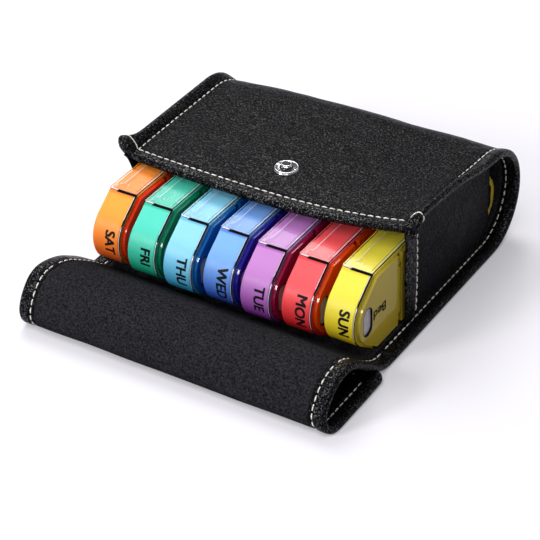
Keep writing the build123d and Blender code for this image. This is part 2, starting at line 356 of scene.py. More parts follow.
columns = [-half_width + e for e in near_edge]
columns += evenly(columns[-1], -columns[-1], inner_columns)[1:-1]
columns += [half_width - e for e in reversed(near_edge)]
top_length = back_centre - (fold + front_middle)
stations = [e / top_length for e in near_edge]
stations += evenly(stations[-1], 1, inner_rows)[1:]
stations += evenly(1, 2, round_rows)[1:] + evenly(2, 3, round_rows)[1:]
leather_out, leather_in, leather_turned, suede_out, suede_in = [], [], [], [], []
for station in stations:
    rows = [[], [], []]
    on_top = station <= 1
    run = station * top_length if on_top else math.inf
    for x in columns:
        from_side, from_front = round_corner(half_width - abs(x), run)
        face, inward = case_face(from_front / top_length if on_top else station,
                                 math.copysign(half_width - from_side, x))
        edge = corner_distance(from_side, from_front)
        outside, inside = rolled(edge)
        outside -= plump(from_side, from_front)
        inside += plump(from_side, from_front)
        if from_side > suede_edge and from_front > suede_hem:
            inside = skin
        calm = smooth(6.5, 16, edge) * (1 if station < 1.3 else 0.4 if station < 2 else 0)
        outside -= creases(face, calm)
        rows[0].append(face + inward * outside)
        rows[1].append(face + inward * inside)
        rows[2].append(turned_share(edge, seam))
    leather_out.append(rows[0])
    leather_in.append(rows[1])
    leather_turned.append(rows[2])
suede_columns = [x for x in columns if half_width - abs(x) > suede_edge - suede_tuck]
for station in [s for s in stations if s * top_length > suede_hem - suede_tuck]:
    rows = [[], []]
    run = station * top_length if station <= 1 else math.inf
    for x in suede_columns:
        face, inward = case_face(station, x)
        edge = lining_edge(half_width - abs(x), run)
        rows[0].append(face + inward * (skin + layer_gap))
        rows[1].append(face + inward * (skin + lining_depth(edge)))
    suede_out.append(rows[0])
    suede_in.append(rows[1])
strip_length = top_length + math.pi * back_round + back_centre - fold
case_skin = strip_mesh("case_skin", leather_out, leather_in, leather_turned)
case_suede = strip_mesh("case_suede", suede_out, suede_in)
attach(case_skin, "case")
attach(case_suede, "case")
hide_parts("case_leather")
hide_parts("case_lining")


def pebbled_leather(name, pebble, depth, roughness, gloss):
    """Coated cloth embossed with a fine pebble grain: near black, with pebble tops that sparkle, painted a
    little lighter than the hollows between them as painted light and shade.
    """
    material, tree, shader, place = textured(name)
    pebbles = add(tree, "TexVoronoi", {"Vector": place, "Scale": 1 / (pebble * mm), "Smoothness": 0.3},
                  feature="SMOOTH_F1")
    fine = add(tree, "TexNoise",
               {"Vector": place, "Scale": 1 / (0.8 * pebble * mm), "Detail": 3.0, "Roughness": 0.6})
    stretched = add(tree, "Mapping",
                    {"Vector": place, "Rotation": (0, 0, math.radians(-38)), "Scale": (0.3, 1.0, 1.0)})
    wrinkles = add(tree, "TexNoise",
                   {"Vector": stretched, "Scale": 1 / (3.2 * pebble * mm), "Detail": 4.0,
                    "Distortion": 1.4})
    patches = add(tree, "TexNoise", {"Vector": place, "Scale": 1 / (30 * mm), "Detail": 1.0})
    patchy = add(tree, "MapRange",
                 {"Value": patches.outputs["Fac"], "From Min": 0.44, "From Max": 0.62, "To Max": 3.6})
    creased = add(tree, "Math", {0: wrinkles.outputs["Fac"], 1: patchy}, operation="MULTIPLY")
    domed = add(tree, "Math",
                {0: pebbles.outputs["Distance"], 1: -1.0, 2: fine.outputs["Fac"]}, operation="MULTIPLY_ADD")
    relief = add(tree, "Math", {0: domed, 1: creased}, operation="ADD")
    bump = add(tree, "Bump", {"Height": relief, "Strength": 1.0, "Distance": depth * mm})
    tops = add(tree, "MapRange", {"Value": fine.outputs["Fac"], "From Min": 0.52, "From Max": 0.68})
    # painted light and shade: the grain's raised tops are painted lighter and its hollows darker, as light
    # falls on the relief
    shade = add(tree, "Mix", {"Factor": tops, "A": "#070709", "B": "#1A1A20"}, data_type="RGBA")
    # where it is turned over its filling it is stretched, so it glints more there
    stretch = add(tree, "Attribute", attribute_name="turned_edge").outputs["Fac"]
    glint = add(tree, "MapRange", {"Value": stretch, "To Min": gloss, "To Max": 0.95})
    shine = add(tree, "Math", {0: tops, 1: glint, 2: 0.03}, operation="MULTIPLY_ADD")
    polish = add(tree, "MapRange", {"Value": stretch, "To Min": roughness, "To Max": 0.25})
    feed(tree, shader, {
        "Base Color": shade.outputs["Result"], "Roughness": polish,
        "Specular IOR Level": shine, "Normal": bump})
    return material


def suede_cloth(name):
    """Brushed suede cloth: dull black nap whose short fibres lie in light and dark flecks."""
    material, tree, shader, place = textured(name)
    nap = add(tree, "TexNoise",
              {"Vector": place, "Scale": 1 / (0.9 * mm), "Detail": 5.0, "Roughness": 0.7,
               "Distortion": 0.3})
    flecks = add(tree, "MapRange", {"Value": nap.outputs["Fac"], "From Min": 0.38, "From Max": 0.70})
    shade = add(tree, "Mix", {"Factor": flecks, "A": "#121214", "B": "#39393D"}, data_type="RGBA")
    bump = add(tree, "Bump", {"Height": nap.outputs["Fac"], "Strength": 1.0, "Distance": 0.35 * mm})
    feed(tree, shader, {"Base Color": shade.outputs["Result"], "Roughness": 1.0, "Specular IOR Level": 0.0,
                        "Normal": bump})
    return material


strip_leather = pebbled_leather("pebbled_coated_cloth", 1.0, 0.22, 0.36, 0.36)
lining_suede = suede_cloth("brushed_suede_cloth")
case_skin.data.materials.append(strip_leather)
case_suede.data.materials.append(lining_suede)

# ---- gussets ----
# An end panel of softer, deeper grained coated cloth at each end, lined with suede cloth. Its front edge is
# turned and sewn, its rear edge is free, and its top and foot are sewn to the strip.
gusset_front = 21.8  # from the fold to its front edge
gusset_back = 100.0  # and to its rear edge
gusset_seam = 8.6  # from its front edge to the stitch line
gusset_face = 70.6  # from the case's middle to its outer face
gusset_skin = 1.0  # thickness of its leather
gusset_suede = 0.4  # thickness of its lining
gusset_width = 52  # round the end panel from seam to seam, laid flat
gusset_lining_width = 43
# how the left (-1) and the right (1) end panel hang
corner_up = {-1: 2.2, 1: 0}  # the top corner in front stands up
corner_out = {-1: 2.6, 1: 1.2}  # and leans out
corner_ahead = {-1: 0, 1: 3.2}  # and forward
foot_in = {-1: 0.9, 1: 0.2}
bulge_in = {-1: 0.9, 1: -1.1}
pinch_in = {-1: 1.6, 1: -0.1}  # in front
gusset_grain = pebbled_leather("deep_grained_coated_cloth", 1.2, 0.30, 0.42, 0.10)


def gusset_point(side, ahead, share, depth):
    """Point of an end panel: ahead is from the fold, share goes from foot to top, depth is inward."""
    past = max(fold + ahead - back_centre, 0.0)
    reach = math.sqrt((back_round - strip) ** 2 - past ** 2)
    low = back_round - reach + 0.25
    near = bell(ahead - gusset_front, 9)
    high = back_round + reach - 0.25 + warp(side * gusset_face, ahead) + corner_up[side] * near
    z = low + share * (high - low)
    # its top meets the turned edge over it
    out = 1.2 * max(0.0, 1 - (high - z) / 1.6) ** 2 - foot_in[side] * max(0.0, 1 - (z - low) / 9) ** 2
    out += corner_out[side] * near * max(0.0, 1 - (high - z) / 10) ** 2
    bulge = bulge_in[side] * math.sin(math.pi * min((ahead - gusset_front) / 70, 1.0))
    out -= (bulge + pinch_in[side] * near) * math.sin(math.pi * share)
    lean = corner_ahead[side] * near * smooth(0.82, 1, share)
    return Vector((side * (gusset_face + out - depth), fold + ahead - lean, z))


shares = [0, 0.006, 0.014, 0.024, 0.036] + evenly(0.05, 0.95, 26) + [0.964, 0.976, 0.986, 0.994, 1]
ahead_steps = [0, 0.1, 0.4, 0.9, 1.6, 2.6, 4, 5.5, 7, 7.9, 8.4, 8.9, 9.6, 10.6]
ahead_steps += evenly(ahead_steps[-1], gusset_back - gusset_front, 30)[1:]
gussets = []
for end, side in (("left", -1), ("right", 1)):
    face_rows, under_rows, turned_rows, suede_face, suede_under = [], [], [], [], []
    for step in ahead_steps:
        rows = [[], [], [], []]
        hem = math.sqrt(max(1 - (1 - min(step / 1.2, 1)) ** 2, 0.0))
        puff = 0.5 * max(math.sin(math.pi * min(step / gusset_seam, 1)), 0.0) ** 0.8 * hem
        groove = 0.3 * bell(step - gusset_seam, 0.7)
        free = smooth(0, 0.6, gusset_back - gusset_front - step)
        for share in shares:
            point = gusset_point(side, gusset_front + step, share, 0)
            wrinkle = 0.45 * noise.noise(point * 0.13) * smooth(10, 18, step) * math.sin(math.pi * share)
            middle = gusset_skin / 2
            thick = hem * max(free, 0.3)
            outer = middle - (middle + puff) * thick + groove + wrinkle
            inner = middle + (middle + puff * 0.6) * thick
            depths = (outer, inner, gusset_skin + layer_gap, gusset_skin + gusset_suede)
            for row, depth in zip(rows, depths):
                row.append(gusset_point(side, gusset_front + step, share, depth))
        face_rows.append(rows[0])
        under_rows.append(rows[1])
        turned_rows.append([turned_share(step, gusset_seam)] * len(shares))
        if step > gusset_seam + 0.5:
            suede_face.append(rows[2][5:-5])
            suede_under.append(rows[3][5:-5])
    panel = strip_mesh(f"{end}_gusset_skin", face_rows, under_rows, turned_rows)
    backing = strip_mesh(f"{end}_gusset_suede", suede_face, suede_under)
    for piece, node, slot, material in ((panel, "leather", "leather", gusset_grain),
                                        (backing, "lining", "suede", lining_suede)):
        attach(piece, "case")
        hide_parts(f"{end}_gusset_{node}")
        piece.data.materials.append(material)
    gussets.append((panel, backing))

# ---- the flap ----
# The same strip goes on forward of the fold. It rises over a soft hump, curls down and under itself, and
# its tip lies flat under the hump, leather up. The suede is outside on the hump and the curl.
# Each end has its own route: distance from the fold and height of the suede face, fold first.
left_route = [
    (0, 3), (3.5, 3.2), (7.5, 6), (12, 9.6), (17, 13.4), (22, 16.8), (27, 19.8), (33, 22.3), (39, 23.9),
    (45, 24.2), (50, 22.4), (54, 18.6), (57, 13.8), (58.6, 9), (58, 4.6), (55, 1.3), (50.5, 0), (42, 0),
    (31, 0), (19, 0)]
right_route = [
    (0, 3), (4, 3.2), (8, 4.4), (12, 6.6), (17, 10), (22, 13.8), (27.5, 18.2), (33, 21.2), (39, 22.2),
    (45, 21.5), (50, 19.2), (54.5, 15.3), (57.8, 10.2), (58.6, 5.8), (57.2, 2.4), (54, 0.4), (49, 0),
    (38, 0), (26, 0.1), (12.5, 0.9)]
route_steps = 12


def rounded(route):
    """Points along a smooth curve through the corners of a route."""
    ends = [Vector(p) for p in route]
    ends = [2 * ends[0] - ends[1]] + ends + [2 * ends[-1] - ends[-2]]
    found = []
    for before, a, b, after in zip(ends, ends[1:], ends[2:], ends[3:]):
        for k in range(route_steps):
            t = k / route_steps
            found.append(0.5 * (2 * a + (b - before) * t + (2 * before - 5 * a + 4 * b - after) * t * t
                                + (3 * a - before - 3 * b + after) * t ** 3))
    return found + [ends[-2]]


left_line, right_line = rounded(left_route), rounded(right_route)
route_count = len(left_line)
split_step = 8 * route_steps  # the middle of the hump's crest, where two pieces of the strip meet


def flap_point(step, x, depth):
    """Point at a depth under the suede face; step counts along the route."""
    share = (x + half_width) / (2 * half_width)
    before, after = max(step - 1, 0), min(step + 1, route_count - 1)
    here = left_line[step].lerp(right_line[step], share)
    run = left_line[after].lerp(right_line[after], share) - left_line[before].lerp(right_line[before], share)
    run.normalize()
    along = step / route_count
    between = smooth(0.1, 0.25, along) * smooth(0.95, 0.8, along)
    ripple = 0.5 * noise.noise(Vector((x * 0.035, along * 7, 3))) * between
    skew = 3.0 * smooth(0.6, 0.85, along) * smooth(20, 77, x)
    place = here + Vector((run.y, -run.x)) * (depth + ripple)
    return Vector((x + skew, fold - place.x, place.y))


def step_at(to_tip):
    """Step along the route, with its fraction, at a distance from the tip."""
    step = next(k for k in range(route_count - 1, -1, -1) if tip_distance[k] >= to_tip or k == 0)
    if step == route_count - 1:
        return step
    return step + (tip_distance[step] - to_tip) / (tip_distance[step] - tip_distance[step + 1])


def flap_rows(first, last, is_leather):
    """Grids of the leather's two faces or the lining's between two steps, and where the leather is turned."""
    upper, lower, turned_rows = [], [], []
    for step in range(first, last + 1):
        rows = [[], []]
        turned_row = []
        to_tip = tip_distance[step]
        for x in columns:
            from_side = half_width - abs(x)
            if is_leather:
                side, end = round_corner(from_side, to_tip)
                here = step_at(end) if end > to_tip else step
                x = math.copysign(half_width - side, x)
                edge = corner_distance(side, end)
                turned_row.append(turned_share(edge, seam))
                top, under = rolled(edge)
                top -= plump(side, end)
                under += plump(side, end)
                if from_side > suede_edge and to_tip > suede_hem:
                    top = strip - skin
                whole = min(int(here), route_count - 2)
                for row, depth in zip(rows, (top, under)):
                    a, b = flap_point(whole, x, depth), flap_point(whole + 1, x, depth)
                    row.append(a.lerp(b, here - whole))
            elif from_side > suede_edge - suede_tuck and to_tip > suede_hem - suede_tuck:
                standing = lining_depth(lining_edge(from_side, to_tip))
                rows[0].append(flap_point(step, x, strip - skin - standing))
                rows[1].append(flap_point(step, x, strip - skin - layer_gap))
        if rows[0]:
            upper.append(rows[0])
            lower.append(rows[1])
            turned_rows.append(turned_row)
    return upper, lower, turned_rows if is_leather else None


tip_distance = [0.0] * route_count
for step in range(route_count - 2, -1, -1):
    tip_distance[step] = tip_distance[step + 1] + (right_line[step + 1] - right_line[step]).length
flap_length = tip_distance[0]
crest_length = flap_length - tip_distance[split_step]
pieces_of_flap = []
flap_parts = (("flap", "flap", 0, split_step), ("curl", "lip", split_step, route_count - 1))
for name, node, first, last in flap_parts:
    skin_piece = strip_mesh(f"{name}_skin", *flap_rows(first, last, True))
    suede_piece = strip_mesh(f"{name}_suede", *flap_rows(first, last, False))
    skin_piece.data.materials.append(strip_leather)
    suede_piece.data.materials.append(lining_suede)
    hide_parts(f"{node}_leather")
    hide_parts(f"{node}_lining")
    pieces_of_flap.append((skin_piece, suede_piece))

# ---- stitching ----
# Thick off-white thread of twisted polyester, one lockstitch after another along every turned edge, on both
# faces of the strip, and an unbroken thread over the rim at the front corners.
stitch_pitch, stitch_length = 3.8, 3.2
loop_pitch, loop_length = 0.9, 1.1  # an unbroken thread is made of short stitches that overlap
stitch_width = 0.7
stitch_sides = 6
# share along a stitch, share of its width and rise over the leather
stitch_rings = ((0, 0.25, -0.25), (0.12, 0.75, 0.05), (0.5, 1, 0.22), (0.88, 0.75, 0.05), (1, 0.25, -0.25))
thread, tree, shader, place = textured("off_white_polyester_thread")
plies = add(tree, "TexWave", {"Vector": place, "Scale": 1 / (5.4 * mm), "Distortion": 1.0},
            bands_direction="DIAGONAL")
shade = add(tree, "Mix", {"Factor": plies.outputs["Fac"], "A": "#CFCAC0", "B": "#F1EEE8"}, data_type="RGBA")
feed(tree, shader, {"Base Color": shade.outputs["Result"], "Roughness": 0.75})


def stitched(name, runs, loops=()):
    """One mesh of stitches along runs of (point, outward way); a loop is an unbroken thread."""
    points, faces = [], []
    every = [(run, stitch_pitch, stitch_length) for run in runs]
    every += [(loop, loop_pitch, loop_length) for loop in loops]
    for run, pitch, length in every:
        lengths = [0.0]
        for (a, _), (b, _) in zip(run, run[1:]):
            lengths.append(lengths[-1] + (b - a).length)

        def at(distance):
            k = next(i for i in range(1, len(lengths)) if lengths[i] >= distance - 1e-6)
            share = (distance - lengths[k - 1]) / max(lengths[k] - lengths[k - 1], 1e-9)
            (a, out_a), (b, out_b) = run[k - 1], run[k]
            return a.lerp(b, share), out_a.lerp(out_b, share).normalized()

        for number in range(int(lengths[-1] // pitch)):
            start = number * pitch + max(pitch - length, 0.0) / 2
            first = len(points)
            along = None
            for share, size, rise in stitch_rings:
                middle, normal = at(min(start + share * length, lengths[-1] - 0.15))
                ahead, _ = at(min(start + share * length + 0.1, lengths[-1]))
                if (ahead - middle).length > 1e-6:
                    along = (ahead - middle).normalized()
                aside = normal.cross(along).normalized()
                radius = stitch_width / 2 * size
                for k in range(stitch_sides):
                    angle = 2 * math.pi * k / stitch_sides
                    points.append(middle + normal * rise + aside * radius * math.cos(angle)
                                  + normal * radius * 0.8 * math.sin(angle))
            last = len(points) - stitch_sides
            for ring in range(first, last, stitch_sides):
                for k in range(stitch_sides):
                    a, b = ring + k, ring + (k + 1) % stitch_sides
                    faces.append((a, b, b + stitch_sides, a + stitch_sides))
            faces += [tuple(range(first, first + stitch_sides)), tuple(range(last, last + stitch_sides))]
    return shaped(name, points, faces, thread)


def case_seam(station, x, edge, inside, extra=0.0):
    """Point of a stitch line on the strip's outer or inner face, and the way out of that face."""
    face, inward = case_face(station, x)
    outer, inner = rolled(edge)
    if inside:
        return face + inward * (inner + extra), inward
    return face + inward * (outer - extra), -inward


def side_seam(x, first, last, inside):
    """Stitch line along the strip at x, between two stations."""
    return [case_seam(station, x, seam, inside) for station in evenly(first, last, 240)]


def flap_seam(step, x, inside):
    """Point of a stitch line on the flap's suede or leather side, and the way out of that face."""
    depth = rolled(seam)[1 if inside else 0]
    point = flap_point(step, x, depth)
    return point, (flap_point(step, x, depth + (1 if inside else -1)) - point).normalized()


def corner_loop(side, station):
    """One long stitch over the strip's turned edge at a front corner, from the stitch line round the rim."""
    places = [(edge, False) for edge in evenly(seam, 0, 24)]
    places += [(edge, True) for edge in evenly(0, seam / 2, 24)]
    return [case_seam(station, side * (half_width - edge), edge, inside, plump(edge, station * top_length))
            for edge, inside in places]


seam_x = half_width - seam
across_case = evenly(-seam_x, seam_x, 200)
hem_station = hem_seam / top_length
case_lines = [[case_seam(hem_station, x, hem_seam, inside) for x in across_case] for inside in (False, True)]
for side in (-1, 1):
    case_lines += [side_seam(side * seam_x, 0.012, 3, False), side_seam(side * seam_x, 0.1, 3, True)]
    case_lines.append([(gusset_point(side, gusset_front + gusset_seam, share, -0.05), Vector((side, 0, 0)))
                       for share in evenly(0.05, 0.95, 100)])
corner_loops = [corner_loop(-1, hem_station), corner_loop(1, 7.5 / top_length),
                side_seam(-seam_x, 0.004, hem_station, False)]
case_stitching = stitched("case_stitching", case_lines, corner_loops)
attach(case_stitching, "case")
tip_step = next(k for k in range(route_count) if tip_distance[k] <= seam)
flap_lines, curl_lines = [], []
for inside in (False, True):
    for x in (-seam_x, seam_x):
        flap_lines.append([flap_seam(step, x, inside) for step in range(split_step + 1)])
        curl_lines.append([flap_seam(step, x, inside) for step in range(split_step, route_count - 7)])
    curl_lines.append([flap_seam(tip_step, x, inside) for x in evenly(-seam_x, seam_x, 100)])
flap_stitching = stitched("flap_stitching", flap_lines)
curl_stitching = stitched("curl_stitching", curl_lines)

# the pieces that go with the flap, from the fold to the crest, and with the curl, from the crest to the tip,
# have their places baked into their meshes
for piece in (*pieces_of_flap[0], flap_stitching):
    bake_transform(piece)
for piece in (*pieces_of_flap[1], curl_stitching):
    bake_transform(piece)
suede_width = 2 * (half_width - suede_edge)
full_width = 2 * half_width
curl_length = flap_length - crest_length
gusset_length = gusset_back - gusset_front
# each sheet's piece, flat width and length, how it is held, what it lies on and what is sewn into it
sheets = [(case_skin, full_width, strip_length, "stretched", "floor", [case_stitching]),
          (case_suede, suede_width, strip_length - suede_hem, "stretched", "case_skin", [])]
for panel, backing in gussets:
    sheets += [(panel, gusset_width, gusset_length, "stretched", "case_skin", []),
               (backing, gusset_lining_width, gusset_length - gusset_seam, "stretched", panel.name, [])]
(flap_skin, flap_suede), (curl_skin, curl_suede) = pieces_of_flap
sheets += [(flap_skin, full_width, crest_length, "folded", "curl_skin", [flap_stitching]),
           (flap_suede, suede_width, crest_length, "folded", "flap_skin", []),
           (curl_skin, full_width, curl_length, "folded", "floor", [curl_stitching]),
           (curl_suede, suede_width, curl_length - suede_hem, "folded", "curl_skin", [])]

# ---- snap fastener ----
# Nickel-plated brass, pressed and polished: a stud on the top panel and its cap and socket in the flap's tip.
# The stud's flange is fluted: a bead round its rim and small ribs over a dark ring of painted shade between
# them, round a hollow head whose well is painted dark as shade.
nickel, tree, shader, place = textured("polished_nickel_plate")
haze = add(tree, "TexNoise", {"Vector": place, "Scale": 1 / (2.5 * mm)}).outputs["Fac"]
rough = add(tree, "MapRange", {"Value": haze, "To Min": 0.08, "To Max": 0.24})
feed(tree, shader, {"Base Color": "#D9D9DB", "Metallic": 1.0, "Roughness": rough})
for node in ("snap_stud", "snap_rivet", "snap_cap", "snap_socket"):
    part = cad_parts[node]
    part.data.materials.clear()
    part.data.materials.append(nickel)

# painted shade: a dark, dull nickel laid between the ribs and in the head's hollow, where shade falls
painted_shade_nickel, tree, shader, place = textured("nickel_in_painted_shade")
haze = add(tree, "TexNoise", {"Vector": place, "Scale": 1 / (0.8 * mm)}).outputs["Fac"]
shade = add(tree, "Mix", {"Factor": haze, "A": "#101012", "B": "#3A3A3E"}, data_type="RGBA")
feed(tree, shader, {"Base Color": shade.outputs["Result"], "Metallic": 0.6, "Roughness": 0.4})
stud_low, stud_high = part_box("snap_stud")
stud_middle = (stud_low + stud_high) / 2 / mm
flange_top = stud_low.z / mm + 0.8
head_top = stud_high.z / mm


def turned(name, profile, material, sides=40):
    """A ring turned round the stud's axis from a profile of (radius, height) in millimetres."""
    points, faces = [], []
    wide = len(profile)
    for k in range(sides):
        angle = 2 * math.pi * k / sides
        points += [Vector((stud_middle.x + r * math.cos(angle), stud_middle.y + r * math.sin(angle), z))
                   for r, z in profile]
        after = (k + 1) % sides * wide
        for j in range(wide):
            following = (j + 1) % wide
            faces.append((k * wide + j, k * wide + following, after + following, after + j))
    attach(shaped(name, points, faces, material), "case")


def beaded(radius, height, size):
    """Round section of a bead, as (radius, height)."""
    return [(radius + size * math.cos(math.pi * k / 4), height + size * math.sin(math.pi * k / 4))
            for k in range(8)]


turned("stud_bead", beaded(5.1, flange_top, 0.3), nickel)
turned("stud_ring", [(2.2, flange_top - 0.1), (2.2, flange_top + 0.05), (4.85, flange_top + 0.05),
                     (4.85, flange_top - 0.1)], painted_shade_nickel)
turned("stud_head_bead", beaded(2.15, head_top, 0.28), nickel)
turned("stud_hollow", [(0.05, head_top - 0.6), (0.05, head_top + 0.04), (1.85, head_top + 0.04),
                       (1.85, head_top - 0.6)], painted_shade_nickel)
rib_count = 26
rib_points, rib_faces = [], []
for number in range(rib_count):
    angle = 2 * math.pi * number / rib_count
    outward = Vector((math.cos(angle), math.sin(angle), 0))
    aside = Vector((-outward.y, outward.x, 0))
    middle = Vector((stud_middle.x, stud_middle.y, flange_top))
    first = len(rib_points)
    for radius, half in ((3.1, 0.14), (4.8, 0.24)):
        for over, rise in ((-half, -0.1), (0, 0.32), (half, -0.1)):
            rib_points.append(middle + outward * radius + aside * over + Vector((0, 0, rise)))
    rib_faces += [tuple(first + k for k in corners)
                  for corners in ((0, 1, 4, 3), (1, 2, 5, 4), (2, 0, 3, 5), (0, 2, 1), (3, 4, 5))]
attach(shaped("stud_ribs", rib_points, rib_faces, nickel, soft=False), "case")

# ---- pods ----
# Seven moulded pill pods: an opaque coloured tray, a clear cover over its open side and a leaf over its top,
# and four tinted lids. The last one's lids show between the pods and the case's right end.
# For each day the tray's colour near its top and near its foot: the top is painted lighter and the foot
# darker, as painted light from the lamps above.
day_colours = {"sat": ("#FFA442", "#F05C18"), "fri": ("#58D6C0", "#08A57C"), "thu": ("#92D5EE", "#2FA4D4"),
               "wed": ("#7EB1EC", "#2450C4"), "tue": ("#C486CA", "#8A34A0"), "mon": ("#F45C62", "#D8181C"),
               "sun": ("#E8DE4C", "#DFC012")}
lid_colours = {"sat": "#FF3C0C", "fri": "#0A8E62", "thu": "#0E6EC4", "wed": "#2E24AC", "tue": "#A8164E",
               "mon": "#F4560C", "sun": "#CDBB40"}
meals = ("bed", "eve", "noon", "morn")


def moulded_tray(day, upper, lower):
    """Injection-moulded polypropylene: saturated, a little translucent, soft gloss, edges slightly round,
    with painted light: lighter towards the top, darker towards the foot.
    """
    material, tree, shader, place = textured(f"moulded_polypropylene_{day}")
    height = add(tree, "SeparateXYZ", {0: place}).outputs["Z"]
    # painted light: the colour runs from the darker foot colour up to the lighter top colour, as the lamps
    # above light the nose
    painted_light_by_height = add(tree, "MapRange", {"Value": height, "From Min": 14 * mm, "From Max": 37 * mm})
    # painted shade: the flat top under the cover's leaf, which faces away from the front light, is painted
    # darker and deeper in colour
    painted_shade_under_leaf = add(tree, "MapRange",
                     {"Value": height, "From Min": 40.4 * mm, "From Max": 40.8 * mm, "To Min": 1.0,
                      "To Max": 0.45})
    share = add(tree, "Math", {0: painted_light_by_height, 1: painted_shade_under_leaf}, operation="MULTIPLY")
    shade = add(tree, "Mix", {"Factor": share, "A": lower, "B": upper}, data_type="RGBA")
    flow = add(tree, "TexNoise", {"Vector": place, "Scale": 1 / (9 * mm), "Detail": 2.0})
    rough = add(tree, "MapRange", {"Value": flow.outputs["Fac"], "To Min": 0.34, "To Max": 0.46})
    edges = add(tree, "Bevel", {"Radius": 1.5 * mm}, samples=8)
    feed(tree, shader, {
        "Base Color": shade.outputs["Result"], "Roughness": rough, "Normal": edges,
        "Specular IOR Level": 0.25, "IOR": 1.49, "Subsurface Weight": 0.25,
        "Subsurface Radius": (1.0, 1.0, 1.0), "Subsurface Scale": 2.0 * mm})
    return material


def clear_plastic(name, colour, roughness, transmission):
    """Clear polystyrene, moulded against polished steel: it bends light and shines along its edges."""
    material, tree, shader, place = textured(name)
    flow = add(tree, "TexNoise", {"Vector": place, "Scale": 1 / (7 * mm), "Detail": 2.0})
    rough = add(tree, "MapRange",
                {"Value": flow.outputs["Fac"], "To Min": roughness, "To Max": roughness + 0.06})
    feed(tree, shader, {"Base Color": colour, "Roughness": rough,
                        "Transmission Weight": transmission, "IOR": 1.38})
    # the light that falls through it reaches what lies behind, tinted by its colour
    rays = add(tree, "LightPath").outputs
    passing = add(tree, "Math", {0: rays["Is Shadow Ray"], 1: rays["Is Diffuse Ray"]}, operation="MAXIMUM")
    through = add(tree, "BsdfTransparent", {"Color": colour})
    both = add(tree, "MixShader", {0: passing, 1: shader, 2: through})
    feed(tree, tree.nodes["Material Output"], {"Surface": both})
    return material


cover_plastic = clear_plastic("clear_polystyrene", "#FFFFFF", 0.14, 1.0)
for day, (upper, lower) in day_colours.items():
    tray_plastic = moulded_tray(day, upper, lower)
    lid_plastic = clear_plastic(f"tinted_polystyrene_{day}", lid_colours[day], 0.08, 0.5)
    made_of = {f"{day}_tray": tray_plastic, f"{day}_cover": cover_plastic}
    made_of.update({f"{day}_{meal}_lid": lid_plastic for meal in meals})
    for node, material in made_of.items():
        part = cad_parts[node]
        part.data.materials.clear()
        part.data.materials.append(material)

# ---- rims of the clear covers ----
# The cover's front wall and its edge down both noses, painted dark as shade where the clear plastic looks
# dark and painted bright as highlights where it looks bright, and on its leaf a moulded rib with two small
# stops and a row of fine ridges beside the rail over the lids, painted bright as highlights.
pod_flat = 93.6  # length of a pod's top between the noses
pod_top = 38.6  # height of a pod
nose_slope = math.radians(36)  # of a nose's straight parts, above and below its round
nose_radius = 14.8
# how far a nose stands out, and the lengths of its straight part, its round and the whole way down
nose_reach = pod_top / 2 / math.tan(nose_slope) - nose_radius / math.sin(nose_slope) + nose_radius
nose_straight = (nose_reach - nose_radius + nose_radius * math.sin(nose_slope)) / math.cos(nose_slope)
nose_arc = nose_radius * (math.pi - 2 * nose_slope)
nose_length = 2 * nose_straight + nose_arc
pod_corner = {day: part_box(f"{day}_tray")[0] / mm for day in day_colours}


def on_pod(day, x, along, rise):
    """Point over a pod's skin: along is from the front corner down the nose, and below 0 on top."""
    if along < 0:
        y, z, normal = -along, pod_top, Vector((0, 0, 1))
    elif along < nose_straight or along > nose_straight + nose_arc:
        upper = along < nose_straight
        run = along if upper else nose_length - along
        flip = 1 if upper else -1
        y = -run * math.cos(nose_slope)
        z = pod_top / 2 + flip * (pod_top / 2 - run * math.sin(nose_slope))
        normal = Vector((0, -math.sin(nose_slope), flip * math.cos(nose_slope)))
    else:
        angle = nose_slope + (along - nose_straight) / nose_radius
        normal = Vector((0, -math.sin(angle), math.cos(angle)))
        y = -nose_reach + nose_radius + nose_radius * normal.y
        z = pod_top / 2 + nose_radius * normal.z
    return pod_corner[day] + Vector((x, nose_reach + y, z)) + normal * rise


def pod_rims(name, day, strips, material):
    """One mesh of thin strips of a pod's skin: each has two places across it, two along it and a height."""
    points, faces = [], []
    for left, right, start, end, rise in strips:
        count = max(1, round(end - start))
        first = len(points)
        for k in range(count + 1):
            along = start + (end - start) * k / count
            points += [on_pod(day, x, along, height)
                       for x, height in ((left, -0.02), (left, rise), (right, rise), (right, -0.02))]
        for k in range(count):
            for j in range(4):
                a, b = first + 4 * k + j, first + 4 * k + (j + 1) % 4
                faces.append((a, b, b + 4, a + 4))
        faces += [tuple(range(first, first + 4)), tuple(range(first + 4 * count, first + 4 * count + 4))]
    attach(shaped(name, points, faces, material, soft=False), f"{day}_pod")


def clear_edge(name, colour, lighter, shine):
    """A painted shade, highlight or reflection on the clear cover, given by its colours: even in tone, with
    faint flow marks.
    """
    material, tree, shader, place = textured(name)
    flow = add(tree, "TexNoise", {"Vector": place, "Scale": 1 / (2.2 * mm), "Detail": 2.0})
    shade = add(tree, "Mix", {"Factor": flow.outputs["Fac"], "A": colour, "B": lighter}, data_type="RGBA")
    feed(tree, shader,
         {"Base Color": shade.outputs["Result"], "Roughness": 0.25, "Specular IOR Level": shine})
    return material


# painted shade, painted highlights and a painted reflection on the clear plastic's edges and hollows
painted_shade_edge = clear_edge("clear_edge_painted_shade", "#060607", "#17161A", 0.05)
painted_highlight_edge = clear_edge("clear_edge_painted_highlight", "#C9C2D2", "#F4F2F6", 0.5)
painted_reflection_scoop = clear_edge("thumb_scoop_painted_reflection", "#8F8A90", "#C8C4CC", 0.5)
rail_end = -pod_flat + 1
